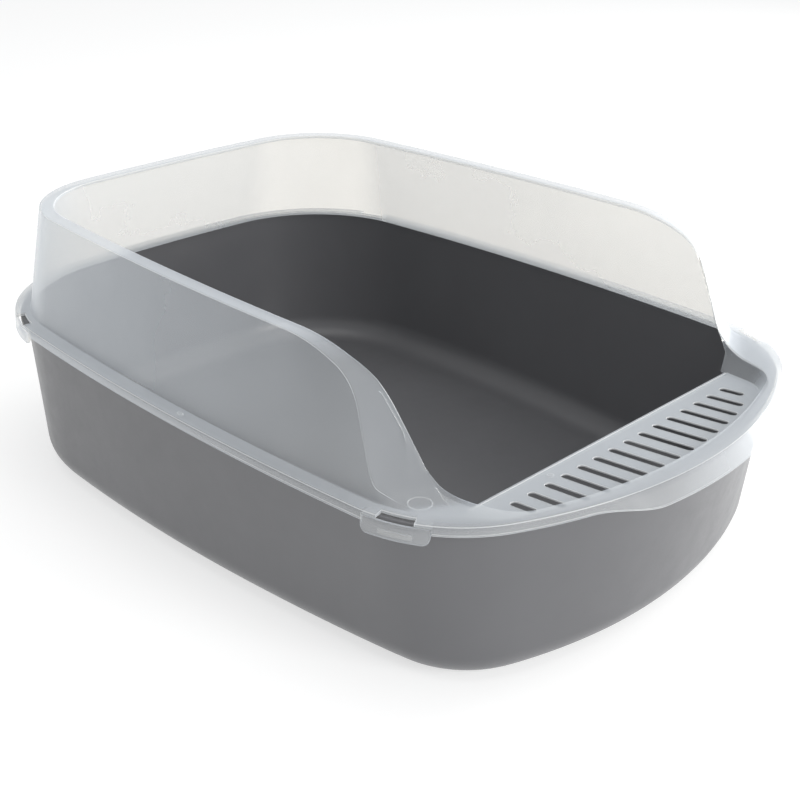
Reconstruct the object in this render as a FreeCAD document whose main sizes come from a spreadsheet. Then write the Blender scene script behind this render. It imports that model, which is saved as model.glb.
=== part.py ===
import FreeCAD, Part
import math
import os
import Sketcher
from FreeCAD import Placement, Rotation, Vector

# An open-top cat litter box: a deep tray and a clear guard that snaps over the tray's rim.
# Frame: millimetres, Z up, long axis along Y, entry step at -Y, underside of the tray at Z = 0.

doc = FreeCAD.newDocument("LitterBox")
sheet = doc.addObject("Spreadsheet::Sheet", "Sizes")

DRIVING = [
    # plan outline of the guard's rim at its top edge
    ("rim_half_width", 187.0), ("rim_front", 263.0), ("rim_back", 270.0),
    ("rim_front_radius", 296.0), ("rim_back_radius", 1300.0), ("rim_side_radius", 2000.0),
    ("rim_front_corner", 87.0), ("rim_back_corner", 108.0), ("rim_belly", -3.0),
    # plan outline of the tray's base before its bottom edge is rounded
    ("base_half_width", 176.5), ("base_front", 241.0), ("base_back", 255.0),
    ("base_front_radius", 330.0), ("base_back_radius", 1600.0), ("base_side_radius", 1350.0),
    ("base_front_corner", 64.0), ("base_back_corner", 113.0), ("base_belly", 75.0),
    # tray walls and rolled rim
    ("tray_height", 113.5), ("tray_wall", 2.2), ("tray_inset", 7.0), ("base_round", 22.0),
    ("roll_thick", 2.5), ("roll_inset", 3.2), ("roll_lip", 2.2), ("roll_low", 108.3),
    # guard rim: flat flange, short skirt and the flared pull at the front
    ("rim_level", 116.0), ("guard_thick", 2.0), ("skirt_low", 110.0), ("skirt_flare", 1.2),
    ("skirt_foot", 104.0), ("pull_front", 271.3), ("pull_radius", 262.0), ("pull_corner", 84.0),
    ("pull_low", 105.0), ("pull_half_width", 46.0), ("pull_blend", 44.0),
    # guard wall: foot on the flange, leaning in; its plan is given at a level above its top edge
    ("foot_inset", 11.0), ("wall_level", 190.0), ("plan_level", 200.0), ("top_half_width", 161.1),
    ("top_front", 233.9), ("top_back", 236.9), ("top_front_radius", 285.0),
    ("top_back_radius", 1754.0), ("top_side_radius", 2567.0), ("top_front_corner", 76.0),
    ("top_back_corner", 72.1), ("top_belly", -44.9), ("ledge_width", 8.3), ("wall_split", 131.0),
    # sweep of the wall's edge down to the rim, drawn in the side plane at the sweep station
    ("sweep_station", 167.0), ("sweep_skew", 0.6), ("sweep_start", 80.0),
    ("shoulder_radius", 130.0), ("shoulder_angle", 20.0), ("crest_radius", 36.0),
    ("sweep_angle", 66.5), ("foot_radius", 27.0), ("foot_dip", 0.15), ("seam_station", 188.0),
    # mouth: the free edge inside the ledge and round the entry step
    ("mouth_front", 250.8), ("mouth_front_radius", 320.0), ("mouth_corner", 28.0),
    ("mouth_half_width", 134.5), ("mouth_station", 196.0), ("mouth_lean", 17.0),
    ("mouth_bend", 120.0),
    # slotted entry step, sunk below the rim and falling toward the litter
    ("step_edge", 192.6), ("step_level", 103.9), ("step_rise", 0.089), ("step_draft", 7.0),
    ("step_wall", 1.4), ("step_inset", 1.3),
    ("slot_count", 15.0), ("slot_pitch", 14.75), ("slot_width", 5.1), ("slot_start", 204.6),
    ("slot_margin", 7.0), ("edge_bead", 1.2), ("cheek_level", 131.0), ("cheek_run", 17.5),
    # snap flaps in the skirt and the windows above them
    ("flap_length", 40.0), ("flap_low", 104.2), ("flap_top", 113.3), ("flap_gap", 0.4),
    ("flap_front", 185.5), ("flap_rear", 192.0), ("flap_round", 4.5), ("window_length", 22.0),
    ("window_depth", 6.0), ("catch_length", 20.0), ("catch_high", 107.8), ("catch_low", 105.4),
    ("catch_reach", 0.9),
]
for row, (alias, number) in enumerate(DRIVING, start=1):
    sheet.set("A%d" % row, alias)
    sheet.set("B%d" % row, str(number))
    sheet.setAlias("B%d" % row, alias)
doc.recompute()


def val(alias):
    return float(sheet.get(alias))


class Size:
    """A length together with the expression that ties it to the sheet."""

    def __init__(self, value, text):
        self.value = value
        self.text = text

    def plus(self, other):
        return Size(self.value + other.value, "(%s + %s)" % (self.text, other.text))

    def minus(self, other):
        return Size(self.value - other.value, "(%s - %s)" % (self.text, other.text))

    def flipped(self):
        return Size(-self.value, "-(%s)" % self.text)


def size(alias):
    return Size(val(alias), "Sizes." + alias)


# ---------------------------------------------------------------- plan outlines

def mirrored(point):
    return Vector(-point.x, point.y, point.z)


def meeting(first, r_first, second, r_second, toward):
    """Centre at the given distances from two others; toward picks the +Y or -Y answer."""
    line = second - first
    span = line.Length
    along = (r_first ** 2 - r_second ** 2 + span ** 2) / (2 * span)
    aside = math.sqrt(r_first ** 2 - along ** 2)
    unit = line * (1 / span)
    normal = Vector(-unit.y, unit.x, 0)
    both = [first + unit * along + normal * aside, first + unit * along - normal * aside]
    return max((p for p in both if p.x > 0), key=lambda p: p.y * toward)


def reach(centre, through, radius):
    """Point at the radius from the centre, on the ray through another point."""
    ray = through - centre
    return centre + ray * (radius / ray.Length)


def arc(centre, start, finish):
    """Arc about the centre from start to finish, the short way round."""
    half = (start + finish) * 0.5 - centre
    return Part.Arc(start, centre + half * ((start - centre).Length / half.Length), finish)


def tie(sketch, kind, ends, length):
    """Add a dimension between two points and bind it, whichever way round they lie."""
    if length.value < 0:
        ends = (ends[1], ends[0])
        length = length.flipped()
    number = sketch.addConstraint(Sketcher.Constraint(kind, *ends[0], *ends[1], length.value))
    sketch.setExpression("Constraints[%d]" % number, length.text)


def chain(sketch, pieces):
    """Draw tangent arcs and lines end to end as a closed loop and bind every radius."""
    first = sketch.GeometryCount
    for centre, start, finish, radius in pieces:
        if radius is None:
            sketch.addGeometry(Part.LineSegment(start, finish), False)
        else:
            sketch.addGeometry(arc(centre, start, finish), False)
    total = len(pieces)
    for index in range(total):
        follow = first + (index + 1) % total
        sketch.addConstraint(Sketcher.Constraint("Tangent", first + index, 2, follow, 1))
    for index, piece in enumerate(pieces):
        if piece[3] is not None:
            number = sketch.addConstraint(
                Sketcher.Constraint("Radius", first + index, piece[3].value))
            sketch.setExpression("Constraints[%d]" % number, piece[3].text)
    return first


def hold_ends(sketch, front, back, sides, shape):
    """Pin the end arcs on the Y axis and the side arcs either side of it."""
    origin = (-1, 1)
    for index in (front, back):
        sketch.addConstraint(Sketcher.Constraint("PointOnObject", index, 3, -2))
    tie(sketch, "DistanceY", (origin, (front, 3)), shape.r_front.minus(shape.front))
    tie(sketch, "DistanceY", ((back, 3), origin), shape.r_back.minus(shape.back))
    tie(sketch, "DistanceX", ((sides[0], 3), origin), shape.r_side.minus(shape.half))
    tie(sketch, "DistanceX", (origin, (sides[1], 3)), shape.r_side.minus(shape.half))
    for index in sides:
        tie(sketch, "DistanceY", (origin, (index, 3)), shape.belly)


class Outline:
    """Closed outline of eight tangent arcs, symmetric about the Y axis."""

    KEYS = ("half", "front", "back", "r_front", "r_back", "r_side", "c_front", "c_back", "belly")

    def __init__(self, *sizes):
        for key, item in zip(self.KEYS, sizes):
            setattr(self, key, item)

    def inset(self, gap):
        moved = [getattr(self, key).minus(gap) for key in self.KEYS[:-1]]
        return Outline(*(moved + [self.belly]))

    def centres(self):
        side = Vector(self.half.value - self.r_side.value, self.belly.value, 0)
        front = Vector(0, self.r_front.value - self.front.value, 0)
        back = Vector(0, self.back.value - self.r_back.value, 0)
        front_corner = meeting(front, self.r_front.value - self.c_front.value,
                               side, self.r_side.value - self.c_front.value, -1)
        back_corner = meeting(back, self.r_back.value - self.c_back.value,
                              side, self.r_side.value - self.c_back.value, 1)
        return front, front_corner, side, back_corner, back

    def draw(self, sketch):
        front, front_corner, side, back_corner, back = self.centres()
        a = reach(front, front_corner, self.r_front.value)
        b = reach(side, front_corner, self.r_side.value)
        c = reach(side, back_corner, self.r_side.value)
        d = reach(back, back_corner, self.r_back.value)
        first = chain(sketch, [
            (front, mirrored(a), a, self.r_front), (front_corner, a, b, self.c_front),
            (side, b, c, self.r_side), (back_corner, c, d, self.c_back),
            (back, d, mirrored(d), self.r_back),
            (mirrored(back_corner), mirrored(d), mirrored(c), self.c_back),
            (mirrored(side), mirrored(c), mirrored(b), self.r_side),
            (mirrored(front_corner), mirrored(b), mirrored(a), self.c_front)])
        hold_ends(sketch, first, first + 4, (first + 2, first + 6), self)


def outline(*names):
    return Outline(*[size(name) for name in names])


class Mouth:
    """Free edge of the guard: follows the ledge, then leans in and rounds the entry step."""

    def __init__(self, gap):
        ledge = size("ledge_width").plus(gap)
        self.gap = gap
        self.half = size("top_half_width").minus(ledge)
        self.back = size("top_back").minus(ledge)
        self.r_side = size("top_side_radius").minus(ledge)
        self.r_back = size("top_back_radius").minus(ledge)
        self.c_back = size("top_back_corner").minus(ledge)
        self.belly = size("top_belly")
        self.front = size("mouth_front").minus(gap)
        self.r_front = size("mouth_front_radius").minus(gap)
        self.c_front = size("mouth_corner").minus(gap)
        self.r_bend = size("mouth_bend").minus(gap)

    def beside_line(self, radius, centre, span, toward):
        """Centre of a circle that touches the leaning line from inside and lies at span."""
        lean = math.radians(val("mouth_lean"))
        run = Vector(math.sin(lean), math.cos(lean), 0)
        inward = Vector(-math.cos(lean), math.sin(lean), 0)
        station = Vector(val("mouth_half_width"), -val("mouth_station"), 0)
        base = station + inward * (self.gap.value + radius) - centre
        half = base.dot(run)
        root = math.sqrt(half ** 2 - base.dot(base) + span ** 2)
        middle = centre + base + run * (-half + toward * root)
        return middle, middle - inward * radius

    def draw(self, sketch):
        front = Vector(0, self.r_front.value - self.front.value, 0)
        back = Vector(0, self.back.value - self.r_back.value, 0)
        side = Vector(self.half.value - self.r_side.value, self.belly.value, 0)
        corner, b = self.beside_line(self.c_front.value, front,
                                     self.r_front.value - self.c_front.value, -1)
        bend, c = self.beside_line(self.r_bend.value, side,
                                   self.r_side.value - self.r_bend.value, 1)
        back_corner = meeting(back, self.r_back.value - self.c_back.value,
                              side, self.r_side.value - self.c_back.value, 1)
        a = reach(front, corner, self.r_front.value)
        d = reach(side, bend, self.r_side.value)
        e = reach(side, back_corner, self.r_side.value)
        f = reach(back, back_corner, self.r_back.value)
        right = [(corner, a, b, self.c_front), (None, b, c, None), (bend, c, d, self.r_bend),
                 (side, d, e, self.r_side), (back_corner, e, f, self.c_back)]
        left = [(p[0] and mirrored(p[0]), mirrored(p[2]), mirrored(p[1]), p[3])
                for p in reversed(right)]
        first = chain(sketch, [(front, mirrored(a), a, self.r_front)] + right
                      + [(back, f, mirrored(f), self.r_back)] + left)
        hold_ends(sketch, first, first + 6, (first + 4, first + 8), self)
        for line, turn in ((first + 2, 90 - val("mouth_lean")), (first + 10, 270 + val("mouth_lean"))):
            sketch.addConstraint(Sketcher.Constraint("Angle", line, math.radians(turn)))


def plan_sketch(name, shape, level):
    """Horizontal sketch of one outline, or of several nested ones, at a level."""
    sketch = doc.addObject("Sketcher::SketchObject", name)
    sketch.Placement = Placement(Vector(0, 0, level.value), Rotation())
    sketch.setExpression("Placement.Base.z", level.text)
    for each in (shape if isinstance(shape, list) else [shape]):
        each.draw(sketch)
    return sketch


# ---------------------------------------------------------------- feature helpers

def feature(kind, name, **settings):
    item = doc.addObject(kind, name)
    for key, value in settings.items():
        setattr(item, key, value)
    return item


def loft(name, *sketches):
    return feature("Part::Loft", name, Sections=list(sketches), Solid=True, Ruled=True)


def cut(name, base, tool):
    return feature("Part::Cut", name, Base=base, Tool=tool)


def fuse(name, *shapes):
    return feature("Part::MultiFuse", name, Shapes=list(shapes))


def common(name, *shapes):
    return feature("Part::MultiCommon", name, Shapes=list(shapes))


def mirror(name, source):
    return feature("Part::Mirroring", name, Source=source, Base=Vector(0, 0, 0),
                   Normal=Vector(1, 0, 0))


def drawn(name, place, segments):
    """Closed sketch of lines (two points) and arcs (three points) on the placed plane."""
    sketch = doc.addObject("Sketcher::SketchObject", name)
    sketch.Placement = place
    ends = []
    for index, points in enumerate(segments):
        flat = [Vector(a, b, 0) for a, b in points]
        sketch.addGeometry(Part.Arc(*flat) if len(flat) == 3 else Part.LineSegment(*flat), False)
        turned = (sketch.getPoint(index, 1) - flat[0]).Length > 0.001
        ends.append((2, 1) if turned else (1, 2))
    for index, (_, finish) in enumerate(ends):
        follow = (index + 1) % len(ends)
        sketch.addConstraint(
            Sketcher.Constraint("Coincident", index, finish, follow, ends[follow][0]))
    return sketch


def side_sketch(name, station, segments):
    """Sketch in the YZ plane at x = station; segments hold (y, z) points."""
    turn = Rotation(Vector(0, 1, 0), Vector(0, 0, 1), Vector(1, 0, 0), "ZXY")
    return drawn(name, Placement(Vector(station, 0, 0), turn), segments)


def across(name, sketch, direction, forward, backward):
    return feature("Part::Extrusion", name, Base=sketch, DirMode="Custom", Dir=direction,
                   LengthFwd=forward, LengthRev=backward, Solid=True)


def polygon(points):
    return [(points[i], points[(i + 1) % len(points)]) for i in range(len(points))]


RIM = outline("rim_half_width", "rim_front", "rim_back", "rim_front_radius", "rim_back_radius",
              "rim_side_radius", "rim_front_corner", "rim_back_corner", "rim_belly")
BASE = outline("base_half_width", "base_front", "base_back", "base_front_radius",
               "base_back_radius", "base_side_radius", "base_front_corner", "base_back_corner",
               "base_belly")
WALL_TOP = outline("top_half_width", "top_front", "top_back", "top_front_radius",
                   "top_back_radius", "top_side_radius", "top_front_corner", "top_back_corner",
                   "top_belly")
NOTHING = Size(0.0, "0")
THICK = size("guard_thick")
RIM_TOP = size("rim_level")
RIM_UNDER = RIM_TOP.minus(THICK)
HIGH = 400.0


# ---------------------------------------------------------------- tray

def edges_at(shape, level):
    """Numbers of the edges that lie wholly at one level."""
    return [index for index, edge in enumerate(shape.Edges, start=1)
            if max(abs(edge.BoundBox.ZMin - level), abs(edge.BoundBox.ZMax - level)) < 0.01]


def rounded(name, base, numbers, radius):
    doc.recompute()
    item = doc.addObject("Part::Fillet", name)
    item.Base = base
    item.Edges = [(number, radius, radius) for number in numbers]
    return item


def upright(name, sketch, height):
    return across(name, sketch, Vector(0, 0, 1), height, 0.0)


def build_tray():
    """Drafted walls with a generously rounded base and a rolled rim with a short lip."""
    wall = size("tray_wall")
    top = size("tray_height")
    outer = RIM.inset(size("tray_inset"))
    roll = RIM.inset(size("roll_inset"))
    walls = loft("tray_walls", plan_sketch("base_outline", BASE, NOTHING),
                 plan_sketch("top_outline", outer, top))
    doc.recompute()
    outside = rounded("tray_outside", walls, edges_at(walls.Shape, 0.0), val("base_round"))
    roll_level = top.minus(size("roll_thick"))
    flat = upright("roll_flat", plan_sketch("roll_outline", roll, roll_level), val("roll_thick"))
    lip_plan = plan_sketch("lip_outline", [roll, roll.inset(size("roll_lip"))], size("roll_low"))
    lip = upright("roll_lip_ring", lip_plan, top.value - val("roll_low"))
    space = loft("tray_space", plan_sketch("floor_outline", BASE.inset(wall), wall),
                 plan_sketch("inner_outline", outer.inset(wall), top))
    doc.recompute()
    inside = rounded("tray_inside", space, edges_at(space.Shape, wall.value),
                     val("base_round") - wall.value)
    solid = fuse("tray_solid", outside, flat, lip)
    return cut("tray", solid, inside)


# ---------------------------------------------------------------- guard shell

def sweep_profile(offset):
    """Side view of the wall's edge, moved inward by offset, closed off behind and below."""
    top = val("wall_level") - offset
    low = val("rim_level") - offset - val("foot_dip")
    shoulder = val("shoulder_radius") - offset
    crest = val("crest_radius") - offset
    foot = val("foot_radius") + offset
    first = math.radians(val("shoulder_angle"))
    steep = math.radians(val("sweep_angle"))
    start = -val("sweep_start")

    def on(centre, radius, angle):
        return centre[0] - radius * math.sin(angle), centre[1] + radius * math.cos(angle)

    hub = (start, top - shoulder)
    join = on(hub, shoulder, first)
    crest_hub = on(join, -crest, first)
    knee = on(crest_hub, crest, steep)
    fall = knee[1] - low - foot * (1 - math.cos(steep))
    toe = (knee[0] - fall / math.tan(steep), knee[1] - fall)
    foot_hub = (toe[0] - foot * math.sin(steep), low + foot)
    end = (foot_hub[0], low)
    mid_foot = (foot_hub[0] + foot * math.sin(steep / 2), foot_hub[1] - foot * math.cos(steep / 2))
    behind = HIGH
    deep = val("rim_level") - 2 * val("foot_radius")
    return [
        ((behind, top), (start, top)),
        ((start, top), on(hub, shoulder, first / 2), join),
        (join, on(crest_hub, crest, (first + steep) / 2), knee),
        (knee, toe),
        (toe, mid_foot, end),
        (end, (end[0], deep)),
        ((end[0], deep), (behind, deep)),
        ((behind, deep), (behind, top)),
    ]


def skewed(name, sketch, top):
    """Side profile extruded along the skewed direction on both sides, bridged behind the mouth."""
    slant = Vector(1, val("sweep_skew"), 0)
    half = 90.0
    one = across(name + "_right", sketch, slant, 30.0, (val("sweep_station") - half) * slant.Length)
    low = val("rim_level") - 2 * val("foot_radius")
    bridge = feature("Part::Box", name + "_bridge", Length=2 * half + 2, Width=HIGH, Height=top - low)
    bridge.Placement = Placement(Vector(-half - 1, 0, low), Rotation())
    return fuse(name, one, mirror(name + "_left", one), bridge)


def build_shell():
    """One moulding: flange, skirt, wall and ledge, with the mouth cut through."""
    foot = RIM.inset(size("foot_inset"))
    skirt_foot = size("skirt_foot")
    flare = size("skirt_flare")
    back_flared = [size("rim_half_width").plus(flare), size("pull_front"),
                   size("rim_back").plus(flare), size("pull_radius"),
                   size("rim_back_radius").plus(flare), size("rim_side_radius").plus(flare),
                   size("pull_corner"), size("rim_back_corner").plus(flare), size("rim_belly")]
    flared = Outline(*back_flared)
    rim_blank = loft("rim_blank", plan_sketch("skirt_outline", flared, skirt_foot),
                     plan_sketch("rim_outline", RIM, RIM_TOP))
    rim_hollow = loft("rim_hollow",
                      plan_sketch("skirt_inner", flared.inset(THICK), skirt_foot),
                      plan_sketch("rim_inner", RIM.inset(THICK), RIM_UNDER))
    wall_blank = loft("wall_blank", plan_sketch("foot_outline", foot, RIM_UNDER),
                      plan_sketch("wall_outline", WALL_TOP, size("plan_level")))
    wall_hollow = loft("wall_hollow", plan_sketch("foot_inner", foot.inset(THICK), RIM_UNDER),
                       plan_sketch("wall_inner", WALL_TOP.inset(THICK), size("plan_level")))
    station = val("sweep_station")
    top = val("wall_level")
    under = skewed("sweep", side_sketch("sweep_side", station, sweep_profile(0.0)), top)
    inside = skewed("sweep_inner",
                    side_sketch("sweep_side_inner", station, sweep_profile(THICK.value)),
                    top - THICK.value)
    solid = fuse("shell_solid", rim_blank, common("wall_solid", wall_blank, under))
    void = fuse("shell_void", rim_hollow, common("wall_void", wall_hollow, inside))
    mouth_sketch = plan_sketch("mouth_outline", Mouth(NOTHING), RIM_UNDER.minus(THICK))
    mouth = upright("mouth", mouth_sketch, HIGH)
    shell = cut("shell", cut("shell_hollowed", solid, void), mouth)
    return shell, rim_blank, rim_hollow, inside


def trim_skirt(shell):
    """Level lower edge all round, dipping where the front flares into the pull."""
    low = val("skirt_low")
    dip = val("pull_low")
    inner = val("pull_half_width")
    outer = inner + val("pull_blend")
    quarter = val("pull_blend") / 2
    step = (low - dip) / 2
    reach_out = 220.0
    beneath = 90.0
    right = [(inner, dip), (inner + quarter, dip + step), (outer, low), (reach_out, low)]
    centre_rise = (quarter ** 2 + step ** 2) / (2 * step)
    turn = math.asin(quarter / centre_rise) / 2
    bow = centre_rise * math.sin(turn)
    sag = centre_rise * (1 - math.cos(turn))
    mids = [(inner + bow, dip + sag), (outer - bow, low - sag)]
    path = [((-inner, dip), (inner, dip)), (right[0], mids[0], right[1]),
            (right[1], mids[1], right[2]), (right[2], right[3]),
            (right[3], (reach_out, beneath)), ((reach_out, beneath), (-reach_out, beneath)),
            ((-reach_out, beneath), (-reach_out, low)), ((-reach_out, low), (-outer, low)),
            ((-outer, low), (-mids[1][0], mids[1][1]), (-right[1][0], right[1][1])),
            ((-right[1][0], right[1][1]), (-mids[0][0], mids[0][1]), (-inner, dip))]
    sketch = drawn("skirt_edge", Placement(Vector(0, 0, 0), Rotation(Vector(1, 0, 0), 90)), path)
    front = across("skirt_edge_front", sketch, Vector(0, -1, 0), 300.0, -200.0)
    rest = feature("Part::Box", "skirt_edge_rest", Length=2 * reach_out, Width=520.0,
                   Height=low - beneath)
    rest.Placement = Placement(Vector(-reach_out, -200, beneath), Rotation())
    return cut("shell_trimmed", shell, fuse("skirt_edges", front, rest))


def seam_zone():
    """Space taken by the wall piece: just outside its foot and behind the toe of the sweep."""
    wide = 200.0
    narrow = 100.0
    base = RIM.inset(size("foot_inset").minus(Size(1.0, "1")))
    column = upright("seam_column", plan_sketch("seam_outline", base, size("pull_low")), HIGH)
    corners = [(x, val("sweep_skew") * (x - val("sweep_station")) - val("seam_station"))
               for x in (narrow, wide)]
    path = polygon([(-narrow, corners[0][1]), corners[0], corners[1], (wide, HIGH), (-wide, HIGH),
                    (-wide, corners[1][1])])
    behind = upright("seam_front", drawn("seam_plan", Placement(), path), HIGH)
    return common("wall_zone", column, behind)


def split_wall(wall):
    """The wall's back with both its corners, and the two sides in front of it."""
    behind = Placement(Vector(0, val("wall_split") + HIGH / 2, 0), Rotation())
    ahead = Placement(Vector(0, val("wall_split") - HIGH / 2, 0), Rotation())
    back = common("guard_back", wall, block("back_space", behind, (-HIGH, HIGH), HIGH, (0.0, HIGH)))
    right = common("guard_side_right", wall, block("side_space", ahead, (0.0, HIGH), HIGH, (0.0, HIGH)))
    return [back, right, mirror("guard_side_left", right)]


# ---------------------------------------------------------------- snap flaps

def flap_frame(y):
    """Placement on the rim outline at y, local X pointing outward and local Y along the rim."""
    front, front_corner, side, back_corner, back = RIM.centres()
    corner, radius = (front_corner, RIM.c_front.value) if y < 0 else (back_corner, RIM.c_back.value)
    x = corner.x + math.sqrt(radius ** 2 - (y - corner.y) ** 2)
    angle = math.degrees(math.atan2(y - corner.y, x - corner.x))
    return Placement(Vector(x, y, 0), Rotation(Vector(0, 0, 1), angle))


def block(name, frame, x_span, length, z_span):
    """Box set square to the rim: radial span, length along the rim and height span."""
    box = feature("Part::Box", name, Length=x_span[1] - x_span[0], Width=length,
                  Height=z_span[1] - z_span[0])
    box.Placement = frame.multiply(Placement(Vector(x_span[0], -length / 2, z_span[0]), Rotation()))
    return box


def low_end_edges(shape, frame, level):
    """Edges at the lower level that run radially, for rounding the flap's lower corners."""
    outward = frame.Rotation.multVec(Vector(1, 0, 0))
    picked = []
    for index, edge in enumerate(shape.Edges, start=1):
        run = edge.Vertexes[-1].Point - edge.Vertexes[0].Point
        if abs(edge.BoundBox.ZMax - level) < 0.01 and abs(run.normalize().dot(outward)) > 0.99:
            picked.append(index)
    return picked


def build_flap(tag, y, rim_blank, rim_hollow):
    """Flap cut from the skirt, with a catch inside, plus the clearance it leaves in the rim."""
    frame = flap_frame(y)
    gap = val("flap_gap")
    low = val("flap_low")
    top = val("flap_top")
    under = val("rim_level") - val("guard_thick")
    length = val("flap_length")
    panel = block(tag + "_panel", frame, (-12, 12), length, (low, top))
    doc.recompute()
    cornered = rounded(tag + "_cornered", panel, low_end_edges(panel.Shape, frame, low),
                       val("flap_round"))
    face = common(tag + "_face", cut(tag + "_skin", rim_blank, rim_hollow), cornered)
    catch_box = block(tag + "_catch_box", frame, (-val("guard_thick") - val("catch_reach"), -0.6),
                      val("catch_length"), (val("catch_low"), val("catch_high")))
    doc.recompute()
    inner_low = [i for i, edge in enumerate(catch_box.Shape.Edges, start=1)
                 if abs(edge.BoundBox.ZMax - val("catch_low")) < 0.01
                 and frame.inverse().multVec(edge.CenterOfMass).x < -val("guard_thick")]
    catch = doc.addObject("Part::Chamfer", tag + "_catch")
    catch.Base = catch_box
    catch.Edges = [(i, 1.6, 1.6) for i in inner_low]
    flap = fuse(tag, face, catch)
    clearance = block(tag + "_clearance", frame, (-8, 12), length + 2 * gap, (90, under))
    window = block(tag + "_window", frame, (-val("window_depth"), 12), val("window_length"),
                   (under - 4, under + 12))
    return flap, fuse(tag + "_opening", clearance, window)


# ---------------------------------------------------------------- entry step

def step_floor(y):
    """Level of the step's upper face at a distance along the box."""
    return val("step_level") + val("step_rise") * (-val("step_edge") - y)


def slot_sketch():
    """Row of round-ended slots; their outer ends follow the curve of the front."""
    sketch = doc.addObject("Sketcher::SketchObject", "slots_plan")
    radius = val("mouth_front_radius")
    half = val("slot_width") / 2
    count = int(val("slot_count"))
    for index in range(count):
        x = (index - (count - 1) / 2) * val("slot_pitch")
        edge = radius - val("mouth_front") - math.sqrt(radius ** 2 - x ** 2)
        corner_ease = 0.05 * max(0.0, abs(x) - 80) ** 1.5
        far = edge + val("slot_margin") + corner_ease
        near = -val("slot_start") - half
        first = sketch.GeometryCount
        sketch.addGeometry(Part.LineSegment(Vector(x + half, far, 0), Vector(x + half, near, 0)), False)
        sketch.addGeometry(Part.Arc(Vector(x + half, near, 0), Vector(x, near + half, 0),
                                    Vector(x - half, near, 0)), False)
        sketch.addGeometry(Part.LineSegment(Vector(x - half, near, 0), Vector(x - half, far, 0)), False)
        sketch.addGeometry(Part.Arc(Vector(x - half, far, 0), Vector(x, far - half, 0),
                                    Vector(x + half, far, 0)), False)
        for k in range(4):
            sketch.addConstraint(Sketcher.Constraint("Tangent", first + k, 2,
                                                     first + (k + 1) % 4, 1))
    return sketch


def build_step(inside):
    """Sunk step: drafted side walls, a gently falling floor with slots, and cheeks to the ledge."""
    thick = val("step_wall")
    under = RIM_UNDER.value
    edge = -val("step_edge")
    draft = size("step_draft")
    wall = size("step_wall")
    deep = size("step_level").minus(THICK)
    outer = loft("step_outer",
                 plan_sketch("step_outer_low", Mouth(draft.minus(wall)), deep),
                 plan_sketch("step_outer_high", Mouth(size("step_inset").minus(wall)), RIM_UNDER))
    inner = loft("step_inner", plan_sketch("step_inner_low", Mouth(draft), deep),
                 plan_sketch("step_inner_high", Mouth(size("step_inset")), RIM_UNDER))
    front = -280.0
    blank_side = polygon([(edge, step_floor(edge) - thick), (front, step_floor(front) - thick),
                          (front, under), (edge + 0.65 * (under - step_floor(edge)), under)])
    hollow_side = polygon([(0, step_floor(edge) + val("step_rise") * edge), (front, step_floor(front)),
                           (front, under), (0, under)])
    width = 190.0
    blank = common("step_blank", outer,
                   across("step_band", side_sketch("step_side", 0, blank_side),
                          Vector(1, 0, 0), width, width))
    hollow = common("step_void", inner,
                    across("step_room", side_sketch("step_room_side", 0, hollow_side),
                           Vector(1, 0, 0), width, width))
    overlap = RIM_UNDER.minus(Size(1.2, "1.2"))
    ring = cut("cheek_ring",
               upright("cheek_outer", plan_sketch("cheek_outer_plan", Mouth(THICK.flipped()),
                                                  overlap), 40.0),
               upright("cheek_inner", plan_sketch("cheek_inner_plan", Mouth(NOTHING), overlap), 40.0))
    slope = val("cheek_run") / (val("cheek_level") - step_floor(edge))
    low = overlap.value - 1
    at = edge + slope * (low - step_floor(edge))
    upper = edge + slope * (150 - step_floor(edge))
    cheek_side = polygon([(at, low), (upper, 150), (front, 150), (front, low)])
    cheeks = common("cheeks", ring, inside,
                    across("cheek_band", side_sketch("cheek_side", 0, cheek_side),
                           Vector(1, 0, 0), width, width))
    slots = upright("slots", slot_sketch(), 150.0)
    floor_edge = step_floor(edge)
    bead = feature("Part::Box", "edge_bead_bar", Length=2 * 122.0, Width=1.6,
                   Height=val("edge_bead") + 0.5)
    bead.Placement = Placement(Vector(-122.0, edge - 1.6, floor_edge - 0.5), Rotation())
    body = cut("step_slotted", cut("step_tub", blank, hollow), slots)
    return fuse("entry_step", body, cheeks, bead)


# ---------------------------------------------------------------- assemble and write

tray = build_tray()
shell, rim_blank, rim_hollow, inside = build_shell()
trimmed = trim_skirt(shell)
zone = seam_zone()
walls = split_wall(common("wall_whole", trimmed, zone))
flaps = []
openings = []
for place, where in (("front", -val("flap_front")), ("rear", val("flap_rear"))):
    flap, opening = build_flap("snap_%s_right" % place, where, rim_blank, rim_hollow)
    other = mirror("snap_%s_left" % place, flap)
    flaps += [flap, other]
    openings += [opening, mirror("opening_%s_left" % place, opening)]
guard_rim = cut("guard_rim", cut("rim_without_wall", trimmed, zone), fuse("rim_openings", *openings))
entry_step = build_step(inside)
doc.recompute()

PIECES = [tray, guard_rim, entry_step] + walls + flaps
os.makedirs("parts", exist_ok=True)
for item in doc.Objects:
    bad = [flag for flag in item.State if flag in ("Invalid", "Error")]
    if bad:
        raise SystemExit("object %s is %s" % (item.Name, bad))
for item in PIECES:
    item.Label = item.Name
    shape = item.Shape
    if shape.isNull() or not shape.isValid() or not shape.Solids:
        raise SystemExit("shape of %s is not a valid solid" % item.Label)
    shape.exportStep("parts/%s.step" % item.Label)
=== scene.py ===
import math

import bmesh
import bpy
import numpy as np
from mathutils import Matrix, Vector
from mathutils.geometry import delaunay_2d_cdt


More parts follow.
